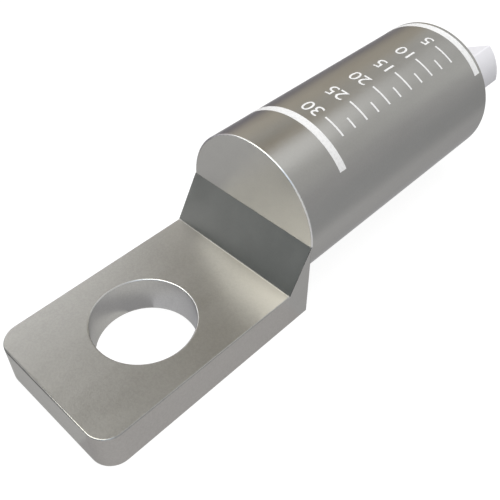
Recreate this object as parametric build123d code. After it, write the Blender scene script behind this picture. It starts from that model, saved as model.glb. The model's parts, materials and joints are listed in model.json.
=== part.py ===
from build123d import *
import math
import os

# Compression lug for a heavy stranded conductor, with the plug that closes its barrel. Millimetres.
# The origin is on the stud hole's axis, at the underside of the palm.
# +Y runs along the barrel towards its open end, and +Z is up, away from the busbar.

# Palm: the flat drilled tongue that bolts down
palm_thickness = 5.9
palm_flat_length = 30.3
palm_corner_radius = 2.9
stud_hole_diameter = 13.5
stud_hole_setback = 14.7

# Barrel: the round blind socket that is crimped on the conductor
bore_diameter = 14.2
barrel_wall = 3.57
bore_depth = 34.5
drill_point_angle = 118.0
web_behind_bore = 2.2

# Step from the palm up to the barrel
barrel_rise = 1.53
ramp_angle = 60.0

# Open end of the barrel: a short bevel, then a slight taper that guides the strands in
mouth_bevel = 0.5
lead_in_length = 6.5
lead_in_angle = 3.0

# Broken edges of the metal
edge_round = 0.2
rim_round = 0.3

# Plug: a tapered stopper in the lead-in, and a flat grip that stands out of it
plug_clearance = 0.08
plug_end_gap = 0.4
plug_nose_round = 0.6
grip_reach = 9.6
grip_thickness = 5.9
grip_turn = 26.0
grip_round = 0.3

# Sizes that follow
bore_radius = bore_diameter / 2
barrel_radius = bore_radius + barrel_wall
palm_width = 2 * barrel_radius
axis_height = barrel_rise + barrel_radius
ramp_run = (axis_height - palm_thickness) / math.tan(math.radians(ramp_angle))
drill_point_length = bore_radius / math.tan(math.radians(drill_point_angle / 2))
barrel_length = web_behind_bore + drill_point_length + bore_depth

# Places along the lug, from the palm's front edge to the grip's end
palm_front_y = -stud_hole_setback
ramp_foot_y = palm_front_y + palm_flat_length
shoulder_y = ramp_foot_y + ramp_run
drill_point_y = shoulder_y + web_behind_bore
bore_floor_y = drill_point_y + drill_point_length
mouth_y = shoulder_y + barrel_length
lead_in_y = mouth_y - lead_in_length
bevel_y = mouth_y - mouth_bevel
plug_nose_y = lead_in_y + plug_end_gap

# Radii in the lead-in, for the metal and for the plug that seats in it
lead_in_slope = math.tan(math.radians(lead_in_angle))
bevel_radius = bore_radius + (bevel_y - lead_in_y) * lead_in_slope
mouth_radius = bevel_radius + mouth_bevel
plug_nose_radius = bore_radius + plug_end_gap * lead_in_slope - plug_clearance
plug_mouth_radius = bore_radius + lead_in_length * lead_in_slope - plug_clearance

barrel_axis = Axis((0, 0, axis_height), (0, 1, 0))
mouth_plane = Plane(origin=(0, mouth_y, axis_height), x_dir=(1, 0, 0), z_dir=(0, 1, 0))

# Half the band in which an edge counts as lying at a given place
PLACE_TOLERANCE = 0.001


def turned(*outline):
    """A solid turned about the barrel's axis from (place along the axis, radius) points."""
    with BuildPart() as body:
        with BuildSketch(Plane.YZ):
            with BuildLine():
                Polyline(*[(y, axis_height + radius) for y, radius in outline], close=True)
            make_face()
        revolve(axis=barrel_axis)
    return body.part


def edges_at(part, axis, place):
    """The edges whose middle lies at one place along an axis."""
    return part.edges().filter_by_position(axis, place - PLACE_TOLERANCE, place + PLACE_TOLERANCE)


def palm_and_ramp():
    """The palm and the ramp behind it: one side profile, as wide as the barrel."""
    with BuildPart() as wedge:
        with BuildSketch(Plane.YZ):
            with BuildLine():
                Polyline(
                    (palm_front_y, 0),
                    (shoulder_y, 0),
                    (shoulder_y, axis_height),
                    (ramp_foot_y, palm_thickness),
                    (palm_front_y, palm_thickness),
                    close=True,
                )
            make_face()
        extrude(amount=palm_width / 2, both=True)
        front_corners = wedge.edges().filter_by(Axis.Z).group_by(Axis.Y)[0]
        fillet(front_corners, radius=palm_corner_radius)
    return wedge.part


def half_barrel(sweep, shoulder_round):
    """Half of the barrel's outside, turned from the +X side by 180 degrees, or by -180 to go over the top."""
    with BuildPart() as half:
        with BuildSketch(Plane.XY.offset(axis_height)) as wall:
            with Locations((0, shoulder_y)):
                Rectangle(barrel_radius, barrel_length, align=Align.MIN)
            fillet(wall.vertices().sort_by(Axis.X)[-2:].sort_by(Axis.Y)[-1], radius=rim_round)
            if shoulder_round:
                fillet(wall.vertices().sort_by(Axis.Y)[:2].sort_by(Axis.X)[-1], radius=shoulder_round)
        revolve(axis=barrel_axis, revolution_arc=sweep)
    return half.part


def lug_body():
    """The whole metal lug: palm, ramp and barrel in one piece, drilled for the stud and the wire."""
    wire_bore = turned(
        (drill_point_y, 0),
        (bore_floor_y, bore_radius),
        (lead_in_y, bore_radius),
        (bevel_y, bevel_radius),
        (mouth_y, mouth_radius),
        (mouth_y, 0),
    )
    with BuildPart() as lug:
        add(palm_and_ramp())
        add(half_barrel(sweep=180, shoulder_round=0))
        add(half_barrel(sweep=-180, shoulder_round=edge_round))
        add(wire_bore, mode=Mode.SUBTRACT)
        with Locations((0, 0, palm_thickness)):
            Hole(stud_hole_diameter / 2, depth=2 * palm_thickness)
        crease = edges_at(lug, Axis.Y, ramp_foot_y)
        palm_top = [edge for edge in edges_at(lug, Axis.Z, palm_thickness) if edge not in crease]
        underside = edges_at(lug, Axis.Z, 0)
        fillet(palm_top + underside, radius=edge_round)
    return lug.part


def end_plug():
    """The plug: a tapered stopper inside the barrel's mouth, with a flat grip across its outer end."""
    stopper = turned(
        (plug_nose_y, 0),
        (plug_nose_y, plug_nose_radius),
        (mouth_y, plug_mouth_radius),
        (mouth_y, 0),
    )
    with BuildPart() as plug:
        add(stopper)
        nose = edges_at(plug, Axis.Y, plug_nose_y)
        fillet(nose, radius=plug_nose_round)
        with BuildSketch(mouth_plane):
            Circle(bore_radius)
            Rectangle(bore_diameter, grip_thickness, rotation=-grip_turn, mode=Mode.INTERSECT)
        extrude(amount=grip_reach)
        grip_sides = edges_at(plug, Axis.Y, mouth_y + grip_reach / 2)
        grip_end = edges_at(plug, Axis.Y, mouth_y + grip_reach)
        fillet(grip_sides + grip_end, radius=grip_round)
    return plug.part


def write_step(part, node):
    """Writes one piece as parts/NODE.step."""
    part.label = node
    export_step(part, f"parts/{node}.step")


os.makedirs("parts", exist_ok=True)
write_step(lug_body(), "lug_body")
write_step(end_plug(), "end_plug")
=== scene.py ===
"""Looks for a compression lug: tin-plated metal, moulded end plug and white barrel print."""

import json
import math

import bpy
from bpy.props import FloatProperty, FloatVectorProperty, IntProperty, PointerProperty
from bpy.types import Operator, Panel, PropertyGroup
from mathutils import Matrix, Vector


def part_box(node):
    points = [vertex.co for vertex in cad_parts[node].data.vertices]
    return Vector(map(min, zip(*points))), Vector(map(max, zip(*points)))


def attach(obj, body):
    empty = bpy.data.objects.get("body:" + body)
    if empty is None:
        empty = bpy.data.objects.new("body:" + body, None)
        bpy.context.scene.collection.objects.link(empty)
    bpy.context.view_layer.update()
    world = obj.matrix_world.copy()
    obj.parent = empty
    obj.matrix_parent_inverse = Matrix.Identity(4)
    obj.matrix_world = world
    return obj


bl_info = {
    "name": "Compression Lug",
    "version": (1, 0, 0),
    "blender": (4, 5, 0),
    "location": "View3D > Sidebar > Lug",
    "description": "Finishes a crimp-on cable lug: plated metal, end plug, crimp bands and a depth scale",
    "category": "Object",
}

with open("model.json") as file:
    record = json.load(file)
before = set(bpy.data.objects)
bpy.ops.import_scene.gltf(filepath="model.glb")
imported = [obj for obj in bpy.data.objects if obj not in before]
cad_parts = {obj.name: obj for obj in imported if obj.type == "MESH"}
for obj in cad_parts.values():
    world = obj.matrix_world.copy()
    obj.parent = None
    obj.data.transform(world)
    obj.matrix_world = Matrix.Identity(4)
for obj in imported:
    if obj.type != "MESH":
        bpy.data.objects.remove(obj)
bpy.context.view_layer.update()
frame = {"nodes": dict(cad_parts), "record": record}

MM = 0.001

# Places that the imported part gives
mounts = {mount["name"]: mount for mount in frame["record"]["mounts"]}
barrel = mounts["barrel_outside"]
barrel_radius = barrel["dims"]["r_mm"] * MM
axis_height = barrel["pos_m"][2]
palm_top = mounts["palm_top"]["pos_m"][2]
stud_hole_radius = mounts["stud_hole"]["dims"]["r_mm"] * MM
palm_front_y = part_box("lug_body")[0].y
mouth_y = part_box("lug_body")[1].y

# Where the round on the shoulder's edge ends and the plain barrel starts
barrel_start_y = barrel["pos_m"][1] - barrel["dims"]["length_mm"] / 2 * MM

# Where the palm's flat ends and the ramp starts
ramp_foot_y = 15.6 * MM

# The rounds on the metal's edges, and the soft border of a mask that follows them
EDGE_ROUND = 0.2 * MM
SOFT_BORDER = 0.06 * MM

# The lighter and darker tones of each finish, as shares of its colour. The foot's lighter tone is a painted
# highlight: the sheen that the ramp reflects onto the palm near its foot.
STREAK_SHADE = 0.94
# The specks' lighter tone is partly the grain's and partly painted glints
SPECKLE_AND_GLINT_SHADE = 1.12
FOOT_PAINTED_SHEEN = 1.5
CLOUD_SHADE = 0.97
THIN_INK_SHADE = 0.90

# How many times longer than wide the draw lines and the slow streaks are
LINE_STRETCH = 60.0
STREAK_STRETCH = 4.0

# Turns flat artwork so that its reading direction climbs along +Z, its tops point to -Y, and it faces +X
ARTWORK_TURN = (math.pi, -math.pi / 2, 0)

# Printed artwork is cut at each bend step before it is bent, its corners are merged within the merge
# distance, and its faces are shaded smooth up to the smooth angle
BEND_STEP = math.radians(3)
MERGE_DISTANCE = 0.001 * MM
SMOOTH_ANGLE = math.radians(30)

# What the lamps and the cards stand round, and how far the floor lies below the palm
LUG_MIDDLE = Vector((0, 0.02, 0.01))
FLOOR_DROP = 0.01 * MM

# The shown sky fades from the horizon's white between these rises of a direction.
# A rise is the sine of the elevation.
SKY_FADE = (0.20, 0.45)

# Directions are (azimuth, elevation) in degrees from the object. Azimuth 0 is +Y and 90 is +X.
# Each lamp lights what is matte: name, direction, distance, width, height, radiance, colour
LAMPS = (
    ("overhead", (20, 84), 0.60, 0.50, 0.50, 3.0, (1.0, 1.0, 1.0)),
)
# Each card shows in reflections only: name, direction, distance, width, height, colour
CARDS = (
    ("card_key", (-142, 48), 0.60, 0.42, 0.26, (1.3, 1.45, 1.8)),
    ("card_key_core", (-141, 52), 0.58, 0.25, 0.18, (8.0, 7.8, 7.1)),
    ("card_high", (-165, 68), 0.61, 0.50, 0.16, (5.2, 5.1, 4.5)),
    ("card_front", (178, 46), 0.62, 0.30, 0.22, (2.9, 3.15, 3.5)),
    ("card_front_right", (135, 47), 0.63, 0.36, 0.30, (1.0, 1.35, 1.8)),
    ("card_dark_low", (-150, 30), 0.61, 0.80, 0.09, (0.02, 0.02, 0.03)),
    ("card_left", (-84, 38), 0.60, 0.42, 0.13, (2.70, 2.72, 2.76)),
    ("card_dark_high", (-63, 61), 0.60, 0.38, 0.17, (0.38, 0.36, 0.32)),
    ("card_warm_high", (-46, 49), 0.61, 0.18, 0.12, (0.24, 0.20, 0.12)),
    ("card_dark_front", (177, 13), 0.50, 0.56, 0.27, (0.07, 0.10, 0.11)),
    ("card_dark_front_left", (-129, 13), 0.50, 0.46, 0.27, (0.20, 0.22, 0.22)),
    ("card_dark_left", (-76, 10), 0.55, 0.30, 0.22, (0.79, 0.69, 0.69)),
    ("card_warm_low", (-45, 16), 0.56, 0.30, 0.34, (0.84, 0.77, 0.65)),
    ("card_right_low", (64, 12), 0.61, 0.86, 0.30, (0.64, 0.64, 0.66)),
    ("card_back_low", (0, 16), 0.60, 0.68, 0.32, (1.15, 1.17, 1.17)),
    ("card_back_high", (12, 57), 0.60, 0.28, 0.28, (1.46, 1.47, 1.48)),
    ("card_back_left", (-25, 50), 0.62, 0.17, 0.13, (0.47, 0.36, 0.18)),
)
# Each near card stands or lies close to the lug: name, place, turn in degrees, width, height, colour
NEAR_CARDS = (
    ("wall_right", (0.026, 0.080, 0.009), (90, 0, 90), 0.200, 0.018, (0.60, 0.61, 0.63)),
    ("wall_left", (-0.050, 0.090, 0.012), (90, 0, 90), 0.200, 0.024, (0.38, 0.36, 0.43)),
    # Painted shade: the next four strips darken the floor that the metal reflects where the lug's shadow
    # falls
    ("strip_barrel", (0.0155, 0.068, 0.0002), (0, 0, 90), 0.100, 0.021, (0.90, 0.90, 0.92)),
    ("strip_palm", (0.0155, -0.006, 0.0002), (0, 0, 90), 0.048, 0.021, (0.90, 0.88, 0.89)),
    ("strip_left", (-0.029, 0.000, 0.0002), (0, 0, 90), 0.070, 0.034, (0.89, 0.89, 0.90)),
    ("strip_hole", (-0.0048, 0.0021, 0.00025), (0, 0, 28), 0.0030, 0.0050, (0.62, 0.62, 0.65)),
    ("strip_hole_back", (-0.0010, 0.0050, 0.0002), (0, 0, 0), 0.0100, 0.0044, (1.00, 1.01, 1.07)),
)


class LugMetalSettings(PropertyGroup):
    """Finish of the plated metal."""

    colour: FloatVectorProperty(
        name="Plating", description="Colour of the satin plating", subtype="COLOR", size=3,
        min=0, max=1, default=(0.375, 0.368, 0.350))
    # Painted dark reflection lines: the rubbed edges are darkened to this colour; their wear shows only in
    # their smoothness
    worn_colour: FloatVectorProperty(
        name="Rubbed Plating", description="Colour where the plating is rubbed smooth",
        subtype="COLOR", size=3, min=0, max=1, default=(0.17, 0.167, 0.162))
    # Painted highlights: the bright lines on the shoulder, the stud hole's rim and the ramp's foot are
    # painted in this colour
    rim_colour: FloatVectorProperty(
        name="Bright Lines", description="Colour of the lines on the shoulder, the hole and the ramp's foot",
        subtype="COLOR", size=3, min=0, max=1, default=(0.72, 0.715, 0.70))
    roughness: FloatProperty(
        name="Roughness", description="How satin the plating is", min=0, max=1, default=0.31)
    grain_size: FloatProperty(
        name="Grain Size", description="Width of the grain in the plating", unit="LENGTH", default=0.25 * MM)
    grain_height: FloatProperty(
        name="Grain Height", description="Height of the grain", unit="LENGTH", default=0.014 * MM)
    line_size: FloatProperty(
        name="Draw Line Width", description="Width of the lines left by drawing the tube", unit="LENGTH",
        default=0.35 * MM)
    line_height: FloatProperty(
        name="Draw Line Height", description="Height of the draw lines", unit="LENGTH", default=0.0006 * MM)
    streak_size: FloatProperty(
        name="Streak Width", description="Width of the slow streaks of lighter and darker plating",
        unit="LENGTH", default=2.6 * MM)
    rub_reach: FloatProperty(
        name="Rub Reach", description="How far from an edge the plating is rubbed", unit="LENGTH",
        default=0.2 * MM)
    rub_patch: FloatProperty(
        name="Rub Patch Size", description="Size of the patches that break up the rub", unit="LENGTH",
        default=1.5 * MM)
    rub_polish: FloatProperty(
        name="Rub Polish", description="How much smoother the rubbed edges are", min=0, max=1, default=0.09)


class LugPlugSettings(PropertyGroup):
    """Finish of the moulded plug."""

    colour: FloatVectorProperty(
        name="Plastic", description="Colour of the moulded plug", subtype="COLOR", size=3,
        min=0, max=1, default=(0.93, 0.925, 0.965))
    roughness: FloatProperty(
        name="Roughness", description="How matte the plastic is", min=0, max=1, default=0.42)
    texture_size: FloatProperty(
        name="Mould Texture Size", description="Width of the mould's fine texture", unit="LENGTH",
        default=0.22 * MM)
    texture_height: FloatProperty(
        name="Mould Texture Height", description="Height of the mould's fine texture", unit="LENGTH",
        default=0.003 * MM)
    cloud_size: FloatProperty(
        name="Cloud Size", description="Size of the faint clouds in the plastic's colour", unit="LENGTH",
        default=4 * MM)


class LugPrintSettings(PropertyGroup):
    """Layout of the white print on the barrel."""

    colour: FloatVectorProperty(
        name="Ink", description="Colour of the ink", subtype="COLOR", size=3,
        min=0, max=1, default=(0.93, 0.93, 0.925))
    ink_height: FloatProperty(
        name="Ink Height", description="How far the ink stands proud of the metal", unit="LENGTH",
        default=0.02 * MM)
    mottle_size: FloatProperty(
        name="Mottle Size", description="Size of the spots where the ink is thin", unit="LENGTH",
        default=0.35 * MM)
    mottle_height: FloatProperty(
        name="Mottle Height", description="Height of the ink's fine texture", unit="LENGTH",
        default=0.002 * MM)
    band_sweep: FloatProperty(
        name="Band Sweep", description="Angle that a crimp band covers over the top of the barrel",
        subtype="ANGLE", default=math.radians(105))
    band_width: FloatProperty(
        name="Band Width", description="Width of a crimp band along the barrel", unit="LENGTH",
        default=1.22 * MM)
    outer_band_setback: FloatProperty(
        name="Outer Band Setback", description="Metal left between the mouth and the outer band",
        unit="LENGTH", default=0.75 * MM)
    inner_band_setback: FloatProperty(
        name="Inner Band Setback", description="From the mouth to the inner band's near edge", unit="LENGTH",
        default=32.3 * MM)
    scale_step: FloatProperty(
        name="Scale Step", description="Depth between two numerals", unit="LENGTH", default=5 * MM)
    scale_count: IntProperty(
        name="Numerals", description="How many numerals the depth scale has", default=6)
    numeral_height: FloatProperty(
        name="Numeral Height", description="Height of a numeral", unit="LENGTH", default=2.15 * MM)
    numeral_angle: FloatProperty(
        name="Numeral Place", description="Angle round the barrel at which a numeral starts", subtype="ANGLE",
        default=math.radians(80))
    tick_start: FloatProperty(
        name="Tick Place", description="Angle round the barrel at which the ticks start", subtype="ANGLE",
        default=math.radians(57))
    tick_length: FloatProperty(
        name="Tick Length", description="Length of the tick at a numeral", unit="LENGTH", default=3.4 * MM)
    tick_width: FloatProperty(
        name="Tick Width", description="Width of a tick", unit="LENGTH", default=0.3 * MM)


class LugStageSettings(PropertyGroup):
    """Floor, light and camera."""

    sky_shown: FloatProperty(
        name="Shown Sky", description="Strength of the sky where it shows", min=0, default=0.78)
    sky_light: FloatProperty(
        name="Sky Light", description="Strength of the sky's even light", min=0, default=0.48)
    horizon_white: FloatProperty(
        name="Horizon White", description="Strength of the shown sky at the horizon",
        min=0, max=1, default=1.0)
    floor_white: FloatProperty(
        name="Floor White", description="How much of the floor's white is its own",
        min=0, max=1, default=0.895)
    floor_colour: FloatVectorProperty(
        name="Floor", description="Colour that the lamps light and the shadow darkens",
        subtype="COLOR", size=3, min=0, max=1, default=(0.22, 0.22, 0.22))
    floor_size: FloatProperty(name="Floor Size", description="Side of the floor", unit="LENGTH", default=4.0)
    lens: FloatProperty(name="Lens", description="Focal length in millimetres", default=50.54)
    camera_place: FloatVectorProperty(
        name="Camera Place", description="Where the camera stands", subtype="TRANSLATION", size=3,
        default=(0.04810, -0.03064, 0.07453))
    camera_turn: FloatVectorProperty(
        name="Camera Turn", description="How the camera is turned", subtype="EULER", size=3,
        default=(math.radians(44.624), math.radians(-0.150), math.radians(44.139)))


def new_material(name):
    """A material with an empty node tree, and its tree."""
    material = bpy.data.materials.new(name)
    material.use_nodes = True
    material.node_tree.nodes.clear()
    return material, material.node_tree


def new_group(name, inputs, outputs):
    """A shader node group with float inputs (name, default) and outputs (name, socket type)."""
    tree = bpy.data.node_groups.new(name, "ShaderNodeTree")
    for label, default in inputs:
        socket = tree.interface.new_socket(name=label, in_out="INPUT", socket_type="NodeSocketFloat")
        socket.default_value = default
    for label, kind in outputs:
        tree.interface.new_socket(name=label, in_out="OUTPUT", socket_type=kind)
    return tree, tree.nodes.new("NodeGroupInput"), tree.nodes.new("NodeGroupOutput")


def add_node(tree, kind, links=None, **values):
    """Adds a node, sets its attributes or input values, and links its inputs."""
    node = tree.nodes.new(kind)
    for key, value in values.items():
        setattr(node, key, value)
    for key, source in (links or {}).items():
        if hasattr(source, "is_output"):
            tree.links.new(source, node.inputs[key])
        else:
            node.inputs[key].default_value = source
    return node


def reckoned(tree, operation, first, *others):
    """Values joined one after another by a math operation."""
    result = first
    for value in others:
        result = add_node(tree, "ShaderNodeMath", {0: result, 1: value}, operation=operation).outputs[0]
    return result


def ranged(tree, value, low, high, from_low=0.3, from_high=0.7):
    """A value moved from one range to another, and kept inside it."""
    node = add_node(tree, "ShaderNodeMapRange", {
        "Value": value, "From Min": from_low, "From Max": from_high, "To Min": low, "To Max": high})
    return node.outputs[0]


def varied(tree, value, middle, reach):
    """A middle varied up to a reach either way by a value from 0 to 1."""
    return ranged(tree, value, middle - reach, middle + reach)


def noise(tree, place, size, detail, roughness):
    """Soft noise from 0 to 1 with spots of a given size."""
    per_metre = reckoned(tree, "DIVIDE", 1.0, size)
    node = add_node(tree, "ShaderNodeTexNoise", {
        "Vector": place, "Scale": per_metre, "Detail": detail, "Roughness": roughness})
    return node.outputs["Fac"]


def object_place(tree):
    """The place on the piece, in its own coordinates."""
    return tree.nodes.new("ShaderNodeTexCoord").outputs["Object"]


def grain_group():
    """Node group: fine even grain of a given size, from 0 to 1, on Object coordinates."""
    tree, given, result = new_group(
        "satin_grain", [("Size", 0.2 * MM)], [("Grain", "NodeSocketFloat")])
    grain = noise(tree, object_place(tree), given.outputs["Size"], detail=3.0, roughness=0.6)
    tree.links.new(grain, result.inputs["Grain"])
    return tree


def draw_line_group():
    """Node group: long faint lines along Y, as drawing leaves on tube, from 0 to 1."""
    tree, given, result = new_group(
        "draw_lines", [("Width", 0.35 * MM), ("Stretch", LINE_STRETCH)], [("Lines", "NodeSocketFloat")])
    place = add_node(tree, "ShaderNodeSeparateXYZ", {0: object_place(tree)}).outputs
    short = reckoned(tree, "DIVIDE", place["Y"], given.outputs["Stretch"])
    joined = add_node(tree, "ShaderNodeCombineXYZ", {"X": place["X"], "Y": short, "Z": place["Z"]})
    lines = noise(tree, joined.outputs[0], given.outputs["Width"], detail=4.0, roughness=0.7)
    tree.links.new(lines, result.inputs["Lines"])
    return tree


def edge_rub_group():
    """Node group: 1 along outer edges and 0 on open faces, broken up by a soft noise. It marks the rubbed
    edges, which the metal also darkens as painted dark reflection lines.
    """
    tree, given, result = new_group(
        "edge_rub", [("Reach", 0.25 * MM), ("Patch Size", 1.5 * MM)], [("Rub", "NodeSocketFloat")])
    bevel = add_node(tree, "ShaderNodeBevel", samples=4)
    tree.links.new(given.outputs["Reach"], bevel.inputs["Radius"])
    shape = tree.nodes.new("ShaderNodeNewGeometry")
    agree = add_node(tree, "ShaderNodeVectorMath", {
        0: bevel.outputs[0], 1: shape.outputs["Normal"]}, operation="DOT_PRODUCT")
    open_face, full_edge = 0.995, 0.90
    edge = ranged(tree, agree.outputs["Value"], 0, 1, open_face, full_edge)
    spots = noise(tree, object_place(tree), given.outputs["Patch Size"], detail=3.0, roughness=0.5)
    patches = ranged(tree, spots, 0.35, 1, 0.35, 0.65)
    tree.links.new(reckoned(tree, "MULTIPLY", edge, patches), result.inputs["Rub"])
    return tree


def effect(name):
    """The shared node group of that name, built at its first use."""
    makers = {"satin_grain": grain_group, "draw_lines": draw_line_group, "edge_rub": edge_rub_group}
    return bpy.data.node_groups.get(name) or makers[name]()


def place_effect(tree, name, **inputs):
    """The output of a material's own copy of a shared effect, with its input values."""
    node = tree.nodes.new("ShaderNodeGroup")
    node.node_tree = effect(name)
    for key, value in inputs.items():
        node.inputs[key.replace("_", " ")].default_value = value
    return node.outputs[0]


def shaded(colour, share):
    """A colour made darker or lighter."""
    return tuple(share * part for part in colour)


def mixed_colour(tree, share, first, second):
    """A mix of two colours by a share."""
    node = add_node(tree, "ShaderNodeMix", data_type="RGBA")
    tree.links.new(share, node.inputs["Factor"])
    for socket, colour in ((node.inputs["A"], first), (node.inputs["B"], second)):
        if hasattr(colour, "is_output"):
            tree.links.new(colour, socket)
        else:
            socket.default_value = (*colour, 1)
    return node.outputs["Result"]


def bumped(tree, height, distance, normal=None):
    """A normal bumped by a height from 0 to 1 over a distance in metres."""
    node = add_node(tree, "ShaderNodeBump", {"Height": height, "Distance": distance, "Strength": 1.0})
    if normal:
        tree.links.new(normal, node.inputs["Normal"])
    return node.outputs["Normal"]


def surface(tree, values, links):
    """The Principled shader with its plain values and its linked sockets, joined to the output."""
    shader = add_node(tree, "ShaderNodeBsdfPrincipled", {**values, **links})
    add_node(tree, "ShaderNodeOutputMaterial", {"Surface": shader.outputs[0]})


def on_palm_top(tree, place):
    """A mask of the palm's top and of most of the rounds at its edges."""
    low = palm_top - EDGE_ROUND
    return ranged(tree, place["Z"], 0, 1, low, low + SOFT_BORDER)


def shoulder_line(tree, place):
    """A mask of a painted highlight: the thin bright line on the shoulder's round."""
    start = barrel_start_y - EDGE_ROUND
    return reckoned(
        tree,
        "MULTIPLY",
        ranged(tree, place["Y"], 0, 1, start, start + 0.03 * MM),
        ranged(tree, place["Y"], 1, 0, barrel_start_y - 0.08 * MM, barrel_start_y + 0.04 * MM),
        ranged(tree, place["Z"], 0, 1, axis_height - EDGE_ROUND, axis_height + EDGE_ROUND),
    )


def stud_hole_line(tree, place):
    """A mask of a painted highlight: the bright line on the stud hole's rim, on the side towards the ramp and
    -X.
    """
    flat = add_node(tree, "ShaderNodeCombineXYZ", {"X": place["X"], "Y": place["Y"]})
    reach = add_node(tree, "ShaderNodeVectorMath", {0: flat.outputs[0]}, operation="LENGTH").outputs["Value"]
    towards = reckoned(tree, "SUBTRACT", place["Y"], place["X"])
    edge = stud_hole_radius + EDGE_ROUND
    return reckoned(
        tree,
        "MULTIPLY",
        ranged(tree, reach, 0.7, 0, edge - SOFT_BORDER, edge),
        ranged(tree, towards, 0, 1, -3 * MM, 2 * MM),
        on_palm_top(tree, place),
    )


def ramp_foot_line(tree, place):
    """A mask of a painted highlight: the thin bright line along the ramp's foot."""
    start = ramp_foot_y - 0.22 * MM
    return reckoned(
        tree,
        "MULTIPLY",
        ranged(tree, place["Y"], 0, 0.75, start, start + 0.08 * MM),
        ranged(tree, place["Y"], 1, 0, ramp_foot_y, ramp_foot_y + 0.02 * MM),
        on_palm_top(tree, place),
    )


def ramp_foot_glow(tree, place):
    """A mask of a painted highlight: the sheen reflected onto the palm, growing over its last 6 mm towards
    the ramp's foot, more on the +X side.
    """
    return reckoned(
        tree,
        "MULTIPLY",
        ranged(tree, place["Y"], 0, 1, ramp_foot_y - 6 * MM, ramp_foot_y),
        ranged(tree, place["Y"], 1, 0, ramp_foot_y, ramp_foot_y + 0.05 * MM),
        ranged(tree, place["X"], 0.3, 1, 2 * MM, barrel_radius),
        ranged(tree, place["Z"], 0, 1, palm_top - EDGE_ROUND, palm_top - 0.05 * MM),
    )


def front_edge_line(tree, place):
    """A mask of a painted dark reflection line along the front edge of the palm's top, from its -X corner to
    past its middle.
    """
    edge = palm_front_y + EDGE_ROUND
    low = palm_top - EDGE_ROUND
    return reckoned(
        tree,
        "MULTIPLY",
        ranged(tree, place["Y"], 1, 0, edge, edge + SOFT_BORDER),
        ranged(tree, place["Z"], 0, 1, low - 0.04 * MM, low),
        ranged(tree, place["X"], 1, 0, 0, 0.7 * barrel_radius),
    )


def speckles(tree, place, grain):
    """A mask of light specks: the grain's tone, and painted glints that are denser on the palm than behind
    it.
    """
    density = ranged(tree, place["Y"], 0.6, 0.2, ramp_foot_y - 0.1 * MM, ramp_foot_y)
    return reckoned(tree, "MULTIPLY", density, ranged(tree, grain, 0, 1, 0.38, 0.62))


def metal_material(settings):
    """Satin plating: grain with partly painted glints, slow tone changes, rubbed edges with painted dark
    lines, painted highlights, and draw lines on the round barrel.
    """
    material, tree = new_material("satin_plating")
    grain = place_effect(tree, "satin_grain", Size=settings.grain_size)
    lines = place_effect(tree, "draw_lines", Width=settings.line_size, Stretch=LINE_STRETCH)
    streaks = place_effect(tree, "draw_lines", Width=settings.streak_size, Stretch=STREAK_STRETCH)
    rub_and_painted_dark_line = place_effect(tree, "edge_rub", Reach=settings.rub_reach, Patch_Size=settings.rub_patch)
    place = add_node(tree, "ShaderNodeSeparateXYZ", {0: object_place(tree)}).outputs

    plating = settings.colour
    colour = mixed_colour(tree, ranged(tree, streaks, 0, 1), shaded(plating, STREAK_SHADE), plating)
    # Light specks: grain, partly painted glints
    colour = mixed_colour(tree, speckles(tree, place, grain), colour, shaded(plating, SPECKLE_AND_GLINT_SHADE))
    # Painted highlight: the palm is lightened towards the ramp's foot
    colour = mixed_colour(tree, ramp_foot_glow(tree, place), colour, shaded(plating, FOOT_PAINTED_SHEEN))
    # Rubbed edges and the palm's front edge, darkened as painted dark reflection lines
    rubbed_and_painted_dark_lines = reckoned(tree, "MAXIMUM", rub_and_painted_dark_line, front_edge_line(tree, place))
    colour = mixed_colour(tree, rubbed_and_painted_dark_lines, colour, settings.worn_colour)
    # Painted highlights: bright lines on the stud hole's rim, the ramp's foot and the shoulder
    painted_highlights = reckoned(
        tree,
        "MAXIMUM",
        stud_hole_line(tree, place),
        ramp_foot_line(tree, place),
        shoulder_line(tree, place),
    )
    colour = mixed_colour(tree, painted_highlights, colour, settings.rim_colour)

    polish = reckoned(tree, "MULTIPLY", rub_and_painted_dark_line, settings.rub_polish)
    rough = reckoned(tree, "SUBTRACT", varied(tree, streaks, settings.roughness, reach=0.02), polish)

    on_barrel = ranged(tree, place["Y"], 0, 1, barrel_start_y, barrel_start_y + 0.3 * MM)
    drawn = reckoned(tree, "MULTIPLY", lines, on_barrel)
    normal = bumped(tree, grain, settings.grain_height, bumped(tree, drawn, settings.line_height))
    surface(
        tree,
        {"Metallic": 1.0, "Specular Tint": (0.6, 0.6, 0.6, 1)},
        {"Base Color": colour, "Roughness": rough, "Normal": normal},
    )
    return material


def plug_material(settings):
    """Moulded plastic: an even matte skin with a fine mould texture."""
    material, tree = new_material("moulded_plastic")
    texture = place_effect(tree, "satin_grain", Size=settings.texture_size)
    clouds = place_effect(tree, "satin_grain", Size=settings.cloud_size)
    darker = shaded(settings.colour, CLOUD_SHADE)
    colour = mixed_colour(tree, ranged(tree, clouds, 0, 1), darker, settings.colour)
    rough = varied(tree, texture, settings.roughness, reach=0.05)
    normal = bumped(tree, texture, settings.texture_height)
    surface(
        tree,
        {"Specular IOR Level": 0.4},
        {"Base Color": colour, "Roughness": rough, "Normal": normal},
    )
    return material


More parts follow.
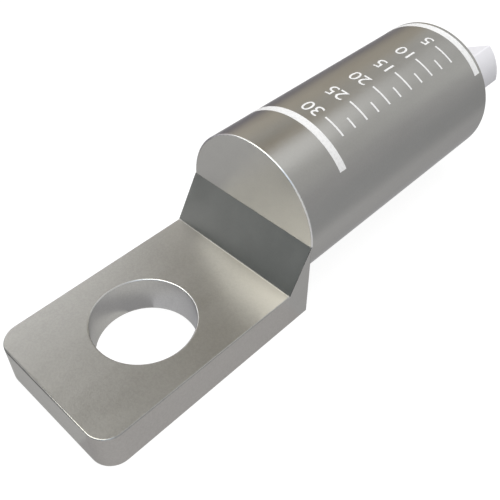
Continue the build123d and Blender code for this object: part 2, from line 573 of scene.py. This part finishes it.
def ink_material(settings):
    """White marking ink: matte, a little mottled where it is thin."""
    name = "white_ink"
    if name in bpy.data.materials:
        return bpy.data.materials[name]
    material, tree = new_material(name)
    mottle = place_effect(tree, "satin_grain", Size=settings.mottle_size)
    thick = ranged(tree, mottle, 0, 1, 0.35, 0.55)
    colour = mixed_colour(tree, thick, shaded(settings.colour, THIN_INK_SHADE), settings.colour)
    thin_roughness, thick_roughness = 0.6, 0.45
    rough = ranged(tree, mottle, thin_roughness, thick_roughness)
    normal = bumped(tree, mottle, settings.mottle_height)
    surface(
        tree,
        {"Specular IOR Level": 0.3},
        {"Base Color": colour, "Roughness": rough, "Normal": normal},
    )
    return material


def finish_node(node, material):
    """Gives a CAD node a material in all its slots."""
    for slot in frame["nodes"][node].material_slots:
        slot.material = material


def deselect():
    """Leaves no object selected."""
    bpy.ops.object.select_all(action="DESELECT")


def select_only(*pieces):
    """Selects these objects and makes the first active."""
    deselect()
    for piece in pieces:
        piece.select_set(True)
    bpy.context.view_layer.objects.active = pieces[0]


def settle():
    """Puts the selected object's place, turn and scale into its mesh."""
    bpy.ops.object.transform_apply(location=True, rotation=True, scale=True)


def flat_strip(start, length, low_y, width):
    """A flat strip of artwork: arc length from start along Z, and width from low_y along Y."""
    deselect()
    bpy.ops.mesh.primitive_plane_add(
        size=1, location=(0, low_y + width / 2, start + length / 2), rotation=ARTWORK_TURN)
    strip = bpy.context.object
    strip.scale = (length, width, 1)
    settle()
    return strip


def flat_numeral(text, start, middle_y, height):
    """A flat numeral of artwork: its first edge at an arc length, its middle at a place along the barrel."""
    deselect()
    bpy.ops.object.text_add(location=(0, 0, 0), rotation=ARTWORK_TURN)
    piece = bpy.context.object
    piece.data.body = text
    piece.data.size = 1
    piece.data.resolution_u = 6
    bpy.ops.object.convert(target="MESH")
    piece = bpy.context.object
    settle()
    corners = [vertex.co.copy() for vertex in piece.data.vertices]
    low_y, high_y = min(c.y for c in corners), max(c.y for c in corners)
    size = height / (high_y - low_y)
    piece.scale = (1, size, size)
    piece.location = (0, middle_y - size * (low_y + high_y) / 2, start - size * min(c.z for c in corners))
    settle()
    return piece


def print_on_barrel(parts, name, ink_height):
    """Joins flat artwork, gives it the ink's thickness, and bends it round the barrel."""
    select_only(*parts)
    if len(parts) > 1:
        bpy.ops.object.join()
    piece = bpy.context.object
    piece.name = name
    piece.data.name = name
    low = min(vertex.co.z for vertex in piece.data.vertices)
    high = max(vertex.co.z for vertex in piece.data.vertices)
    bpy.ops.object.mode_set(mode="EDIT")
    cuts = math.ceil((high - low) / (barrel_radius * BEND_STEP))
    for cut in range(1, cuts):
        bpy.ops.mesh.select_all(action="SELECT")
        bpy.ops.mesh.bisect(plane_co=(0, 0, low + (high - low) * cut / cuts), plane_no=(0, 0, 1))
    bpy.ops.mesh.select_all(action="SELECT")
    bpy.ops.mesh.remove_doubles(threshold=MERGE_DISTANCE)
    bpy.ops.object.mode_set(mode="OBJECT")
    skin = piece.modifiers.new("ink", "SOLIDIFY")
    skin.thickness = 2 * ink_height
    skin.offset = 0
    bpy.ops.object.modifier_apply(modifier=skin.name)
    bend = piece.modifiers.new("bend", "SIMPLE_DEFORM")
    bend.deform_method = "BEND"
    bend.deform_axis = "Y"
    bend.angle = -(high - low) / barrel_radius
    bpy.ops.object.modifier_apply(modifier=bend.name)
    piece.location = (barrel_radius, 0, axis_height)
    settle()
    bpy.ops.object.mode_set(mode="EDIT")
    bpy.ops.mesh.select_all(action="SELECT")
    bpy.ops.mesh.normals_make_consistent(inside=False)
    bpy.ops.object.mode_set(mode="OBJECT")
    bpy.ops.object.shade_smooth_by_angle(angle=SMOOTH_ANGLE)
    return piece


class LUG_OT_metal(Operator):
    """Gives the one-piece metal lug its satin plating"""

    bl_idname = "lug.metal"
    bl_label = "Lug Metal"

    def execute(self, context):
        finish_node("lug_body", metal_material(context.scene.lug_metal))
        return {"FINISHED"}


class LUG_OT_plug(Operator):
    """Gives the barrel's end plug its moulded plastic"""

    bl_idname = "lug.plug"
    bl_label = "End Plug"

    def execute(self, context):
        finish_node("end_plug", plug_material(context.scene.lug_plug))
        return {"FINISHED"}


class LUG_OT_bands(Operator):
    """Prints the two bands that bound the crimp zone"""

    bl_idname = "lug.bands"
    bl_label = "Crimp Bands"

    def execute(self, context):
        layout = context.scene.lug_print
        length = layout.band_sweep * barrel_radius
        start = math.pi / 2 * barrel_radius - length / 2
        for name, setback in (
            ("crimp_band_outer", layout.outer_band_setback),
            ("crimp_band_inner", layout.inner_band_setback),
        ):
            strip = flat_strip(start, length, mouth_y - setback - layout.band_width, layout.band_width)
            band = print_on_barrel([strip], name, layout.ink_height)
            band.data.materials.append(ink_material(layout))
            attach(band, "lug")
        return {"FINISHED"}


class LUG_OT_scale(Operator):
    """Prints the depth scale: a tick and a numeral at each step from the mouth, and half ticks between"""

    bl_idname = "lug.scale"
    bl_label = "Depth Scale"

    def execute(self, context):
        layout = context.scene.lug_print
        parts = []
        start = layout.tick_start * barrel_radius
        for step in range(2, 2 * layout.scale_count + 1):
            place = mouth_y - layout.scale_step * step / 2
            whole = step % 2 == 0
            length = layout.tick_length if whole else layout.tick_length / 2
            parts.append(flat_strip(start, length, place - layout.tick_width / 2, layout.tick_width))
            if whole:
                depth = round(layout.scale_step / MM * step / 2)
                parts.append(flat_numeral(
                    str(depth), layout.numeral_angle * barrel_radius, place, layout.numeral_height))
        scale = print_on_barrel(parts, "depth_scale", layout.ink_height)
        scale.data.materials.append(ink_material(layout))
        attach(scale, "lug")
        return {"FINISHED"}


def direction(azimuth, elevation):
    """The unit vector of a direction in degrees."""
    turn, rise = math.radians(azimuth), math.radians(elevation)
    return Vector((math.sin(turn) * math.cos(rise), math.cos(turn) * math.cos(rise), math.sin(rise)))


def facing(way):
    """The turn that points a plane's or a lamp's -Z back along a direction."""
    return (-way).to_track_quat("-Z", "Y").to_euler()


def glow_material(name, colour):
    """A plain glow of one colour."""
    material, tree = new_material(name)
    glow = add_node(tree, "ShaderNodeEmission", {"Color": (*colour, 1), "Strength": 1.0})
    add_node(tree, "ShaderNodeOutputMaterial", {"Surface": glow.outputs[0]})
    return material


def shown_rays(tree):
    """1 for rays that show a background: from the camera, a reflection or through glass. Otherwise 0."""
    path = tree.nodes.new("ShaderNodeLightPath").outputs
    return reckoned(
        tree, "MAXIMUM", path["Is Camera Ray"], path["Is Glossy Ray"], path["Is Transmission Ray"])


def floor_material(settings):
    """A white floor, part its own white and part lit, so that it keeps the shadow."""
    material, tree = new_material("white_floor")
    strength = reckoned(tree, "MULTIPLY", shown_rays(tree), settings.floor_white)
    own = add_node(tree, "ShaderNodeEmission", {"Color": (1, 1, 1, 1), "Strength": strength})
    lit = add_node(tree, "ShaderNodeBsdfDiffuse", {"Color": (*settings.floor_colour, 1)})
    both = add_node(tree, "ShaderNodeAddShader", {0: own.outputs[0], 1: lit.outputs[0]})
    add_node(tree, "ShaderNodeOutputMaterial", {"Surface": both.outputs[0]})
    return material


def make_floor(settings):
    """The floor under the palm."""
    deselect()
    bpy.ops.mesh.primitive_plane_add(size=settings.floor_size, location=(0, 0, -FLOOR_DROP))
    floor = bpy.context.object
    floor.name = "floor"
    floor.data.materials.append(floor_material(settings))


def make_card(name, place, turn, width, height, colour):
    """A card that shows in reflections and nowhere else."""
    deselect()
    bpy.ops.mesh.primitive_plane_add(size=1, location=place, rotation=turn)
    card = bpy.context.object
    card.name = name
    card.scale = (width, height, 1)
    card.data.materials.append(glow_material(name, colour))
    card.visible_camera = card.visible_diffuse = card.visible_shadow = card.visible_transmission = False


def make_lamp(name, place, turn, width, height, radiance, colour):
    """A soft rectangular lamp of a given radiance."""
    deselect()
    bpy.ops.object.light_add(type="AREA", location=place, rotation=turn)
    lamp = bpy.context.object
    lamp.name = name
    lamp.data.shape = "RECTANGLE"
    lamp.data.size = width
    lamp.data.size_y = height
    lamp.data.energy = radiance * math.pi * width * height
    lamp.data.color = colour
    lamp.visible_camera = lamp.visible_glossy = False


def make_sky(settings):
    """A pale sky. Where it shows it whitens towards the horizon, and its light on matte surfaces is even."""
    world = bpy.data.worlds.new("pale_sky")
    world.use_nodes = True
    tree = world.node_tree
    ray = add_node(tree, "ShaderNodeTexCoord").outputs["Generated"]
    rise = add_node(tree, "ShaderNodeSeparateXYZ", {0: ray}).outputs["Z"]
    shown = add_node(tree, "ShaderNodeMapRange", {
        "Value": rise, "From Min": SKY_FADE[0], "From Max": SKY_FADE[1],
        "To Min": settings.horizon_white, "To Max": settings.sky_shown}, interpolation_type="SMOOTHSTEP")
    strength = add_node(tree, "ShaderNodeMix", data_type="FLOAT")
    tree.links.new(shown_rays(tree), strength.inputs["Factor"])
    strength.inputs["A"].default_value = settings.sky_light
    tree.links.new(shown.outputs[0], strength.inputs["B"])
    tree.nodes["Background"].inputs["Color"].default_value = (1, 1, 1, 1)
    tree.links.new(strength.outputs["Result"], tree.nodes["Background"].inputs["Strength"])
    bpy.context.scene.world = world


def make_camera(settings):
    """The camera, above the palm's right side and looking down along the barrel."""
    deselect()
    bpy.ops.object.camera_add(location=settings.camera_place, rotation=settings.camera_turn)
    camera = bpy.context.object
    camera.name = "camera"
    camera.data.lens = settings.lens
    camera.data.clip_start = 1 * MM
    bpy.context.scene.camera = camera


class LUG_OT_stage(Operator):
    """Sets the floor, the sky, the lamps, the reflection cards and the camera"""

    bl_idname = "lug.stage"
    bl_label = "Stage"

    def execute(self, context):
        settings = context.scene.lug_stage
        context.scene.view_settings.view_transform = "Standard"
        make_floor(settings)
        make_sky(settings)
        for name, way, distance, width, height, radiance, colour in LAMPS:
            ray = direction(*way)
            make_lamp(name, LUG_MIDDLE + ray * distance, facing(ray), width, height, radiance, colour)
        for name, way, distance, width, height, colour in CARDS:
            ray = direction(*way)
            make_card(name, LUG_MIDDLE + ray * distance, facing(ray), width, height, colour)
        for name, place, turn, width, height, colour in NEAR_CARDS:
            make_card(name, place, [math.radians(angle) for angle in turn], width, height, colour)
        make_camera(settings)
        return {"FINISHED"}


class LUG_PT_panel(Panel):
    """Lists the lug's pieces and their settings"""

    bl_idname = "LUG_PT_panel"
    bl_label = "Compression Lug"
    bl_space_type = "VIEW_3D"
    bl_region_type = "UI"
    bl_category = "Lug"

    def draw(self, context):
        for settings, operators in PANEL_ROWS:
            box = self.layout.box()
            for operator in operators:
                box.operator(operator.bl_idname)
            group = getattr(context.scene, settings)
            for name in group.__annotations__:
                box.prop(group, name)


PANEL_ROWS = (
    ("lug_metal", (LUG_OT_metal,)),
    ("lug_plug", (LUG_OT_plug,)),
    ("lug_print", (LUG_OT_bands, LUG_OT_scale)),
    ("lug_stage", (LUG_OT_stage,)),
)
SETTINGS = {
    "lug_metal": LugMetalSettings,
    "lug_plug": LugPlugSettings,
    "lug_print": LugPrintSettings,
    "lug_stage": LugStageSettings,
}
CLASSES = (
    *SETTINGS.values(), LUG_OT_metal, LUG_OT_plug, LUG_OT_bands, LUG_OT_scale, LUG_OT_stage, LUG_PT_panel,
)


def register():
    for cls in CLASSES:
        bpy.utils.register_class(cls)
    for name, group in SETTINGS.items():
        setattr(bpy.types.Scene, name, PointerProperty(type=group))


def unregister():
    for name in SETTINGS:
        delattr(bpy.types.Scene, name)
    for cls in reversed(CLASSES):
        bpy.utils.unregister_class(cls)


def main():
    register()
    bpy.ops.lug.stage()
    bpy.ops.lug.metal()
    bpy.ops.lug.plug()
    bpy.ops.lug.bands()
    bpy.ops.lug.scale()


if __name__ == "__main__":
    main()
